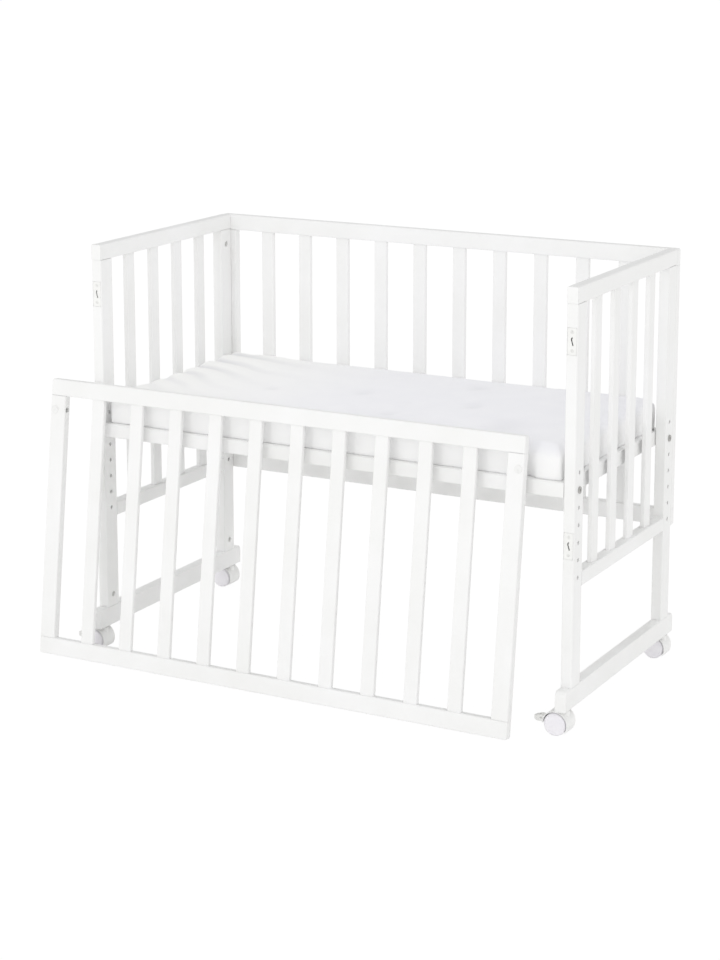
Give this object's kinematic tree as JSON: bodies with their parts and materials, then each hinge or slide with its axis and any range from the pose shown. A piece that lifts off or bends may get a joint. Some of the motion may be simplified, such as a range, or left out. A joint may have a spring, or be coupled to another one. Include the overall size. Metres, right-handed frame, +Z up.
{
  "type": "bedside sleeper crib",
  "caption": "Slatted wooden bedside crib with one open side, a height-adjustable base, a cot mattress, a loose front grille and braked swivel casters.",
  "frame": {"origin": "on the floor, at the middle of the whole thing's outline as it stands, the leaning front grille included", "axes": "+X along the crib's length towards its right end, seen from the open side; +Y from the open side to the back grille; +Z up"},
  "size_m": [1.034, 0.5498, 0.76],
  "materials": {
    "white_lacquer": "satin white lacquer on solid wood",
    "mattress_cloth": "plain woven cotton cover, slightly creased",
    "bolt_steel": "dull dark zinc",
    "bare_steel": "zinc plated",
    "plate_enamel": "satin white enamel",
    "cap_plastic": "gloss white",
    "caster_plastic": "satin white",
    "wheel_plastic": "soft off-white tread",
    "pedal_plastic": "satin white"
  },
  "bodies": {
    "bed": {"back_grille_bolts": "bolt_steel", "back_grille_bottom_rail": "white_lacquer", "back_grille_left_stile": "white_lacquer", "back_grille_right_stile": "white_lacquer", "back_grille_slats": "white_lacquer", "back_grille_top_rail": "white_lacquer", "barrel_nuts": "bare_steel", "caster_sleeves": "bare_steel", "foot_beam_bolts": "bolt_steel", "hook_plate_screws": "plate_enamel", "hook_plates": "plate_enamel", "left_foot_beam": "white_lacquer", "left_front_post": "white_lacquer", "left_lower_rail": "white_lacquer", "left_rear_post": "white_lacquer", "left_slats": "white_lacquer", "left_top_rail": "white_lacquer", "right_foot_beam": "white_lacquer", "right_front_post": "white_lacquer", "right_lower_rail": "white_lacquer", "right_rear_post": "white_lacquer", "right_slats": "white_lacquer", "right_top_rail": "white_lacquer"},
    "base": {"base_barrel_nuts": "bare_steel", "base_bolts": "bolt_steel", "base_front_ledger": "white_lacquer", "base_front_rail": "white_lacquer", "base_left_end_rail": "white_lacquer", "base_rear_ledger": "white_lacquer", "base_rear_rail": "white_lacquer", "base_right_end_rail": "white_lacquer", "base_slats": "white_lacquer"},
    "mattress_pad": {"mattress": "mattress_cloth"},
    "front_grille": {"front_grille_barrel_nuts": "bare_steel", "front_grille_bottom_rail": "white_lacquer", "front_grille_caps": "cap_plastic", "front_grille_hook_plates": "plate_enamel", "front_grille_left_stile": "white_lacquer", "front_grille_right_stile": "white_lacquer", "front_grille_slats": "white_lacquer", "front_grille_top_rail": "white_lacquer"},
    "front_left_fork": {"front_left_caster_hood": "caster_plastic", "front_left_caster_pins": "bare_steel"},
    "front_left_front_wheel": {"front_left_caster_front_wheel": "wheel_plastic"},
    "front_left_rear_wheel": {"front_left_caster_rear_wheel": "wheel_plastic"},
    "front_left_pedal": {"front_left_brake_pedal": "pedal_plastic"},
    "front_right_fork": {"front_right_caster_hood": "caster_plastic", "front_right_caster_pins": "bare_steel"},
    "front_right_front_wheel": {"front_right_caster_front_wheel": "wheel_plastic"},
    "front_right_rear_wheel": {"front_right_caster_rear_wheel": "wheel_plastic"},
    "front_right_pedal": {"front_right_brake_pedal": "pedal_plastic"},
    "rear_left_fork": {"rear_left_caster_hood": "caster_plastic", "rear_left_caster_pins": "bare_steel"},
    "rear_left_front_wheel": {"rear_left_caster_front_wheel": "wheel_plastic"},
    "rear_left_rear_wheel": {"rear_left_caster_rear_wheel": "wheel_plastic"},
    "rear_right_fork": {"rear_right_caster_hood": "caster_plastic", "rear_right_caster_pins": "bare_steel"},
    "rear_right_front_wheel": {"rear_right_caster_front_wheel": "wheel_plastic"},
    "rear_right_rear_wheel": {"rear_right_caster_rear_wheel": "wheel_plastic"}
  },
  "joints": [
    {"name": "base_height", "type": "slide", "parent": "bed", "child": "base", "axis": [0, 0, 1], "range_m": [-0.15, 0.03]},
    {"name": "mattress_lift", "type": "slide", "parent": "base", "child": "mattress_pad", "axis": [0, 0, 1], "range_m": [0, 0.34]},
    {"name": "front_grille_lift", "type": "slide", "parent": "bed", "child": "front_grille", "axis": [0, -0.5, 0.866], "range_m": [0, 0.45]},
    {"name": "front_left_swivel", "type": "hinge", "parent": "bed", "child": "front_left_fork", "pos_m": [-0.425, -0.19706, 0.045], "axis": [0, 0, 1], "continuous": true},
    {"name": "front_left_front_wheel_roll", "type": "hinge", "parent": "front_left_fork", "child": "front_left_front_wheel", "pos_m": [-0.437, -0.20956, 0.02], "axis": [0, 1, 0], "continuous": true},
    {"name": "front_left_rear_wheel_roll", "type": "hinge", "parent": "front_left_fork", "child": "front_left_rear_wheel", "pos_m": [-0.437, -0.18456, 0.02], "axis": [0, 1, 0], "continuous": true},
    {"name": "front_left_brake", "type": "hinge", "parent": "front_left_fork", "child": "front_left_pedal", "pos_m": [-0.466, -0.19706, 0.024], "axis": [0, -1, 0], "range_deg": [0, 12]},
    {"name": "front_right_swivel", "type": "hinge", "parent": "bed", "child": "front_right_fork", "pos_m": [0.505, -0.19706, 0.045], "axis": [0, 0, 1], "continuous": true},
    {"name": "front_right_front_wheel_roll", "type": "hinge", "parent": "front_right_fork", "child": "front_right_front_wheel", "pos_m": [0.493, -0.20956, 0.02], "axis": [0, 1, 0], "continuous": true},
    {"name": "front_right_rear_wheel_roll", "type": "hinge", "parent": "front_right_fork", "child": "front_right_rear_wheel", "pos_m": [0.493, -0.18456, 0.02], "axis": [0, 1, 0], "continuous": true},
    {"name": "front_right_brake", "type": "hinge", "parent": "front_right_fork", "child": "front_right_pedal", "pos_m": [0.464, -0.19706, 0.024], "axis": [0, -1, 0], "range_deg": [0, 12]},
    {"name": "rear_left_swivel", "type": "hinge", "parent": "bed", "child": "rear_left_fork", "pos_m": [-0.425, 0.25094, 0.045], "axis": [0, 0, 1], "continuous": true},
    {"name": "rear_left_front_wheel_roll", "type": "hinge", "parent": "rear_left_fork", "child": "rear_left_front_wheel", "pos_m": [-0.437, 0.23844, 0.02], "axis": [0, 1, 0], "continuous": true},
    {"name": "rear_left_rear_wheel_roll", "type": "hinge", "parent": "rear_left_fork", "child": "rear_left_rear_wheel", "pos_m": [-0.437, 0.26344, 0.02], "axis": [0, 1, 0], "continuous": true},
    {"name": "rear_right_swivel", "type": "hinge", "parent": "bed", "child": "rear_right_fork", "pos_m": [0.505, 0.25094, 0.045], "axis": [0, 0, 1], "continuous": true},
    {"name": "rear_right_front_wheel_roll", "type": "hinge", "parent": "rear_right_fork", "child": "rear_right_front_wheel", "pos_m": [0.493, 0.23844, 0.02], "axis": [0, 1, 0], "continuous": true},
    {"name": "rear_right_rear_wheel_roll", "type": "hinge", "parent": "rear_right_fork", "child": "rear_right_rear_wheel", "pos_m": [0.493, 0.26344, 0.02], "axis": [0, 1, 0], "continuous": true}
  ]
}
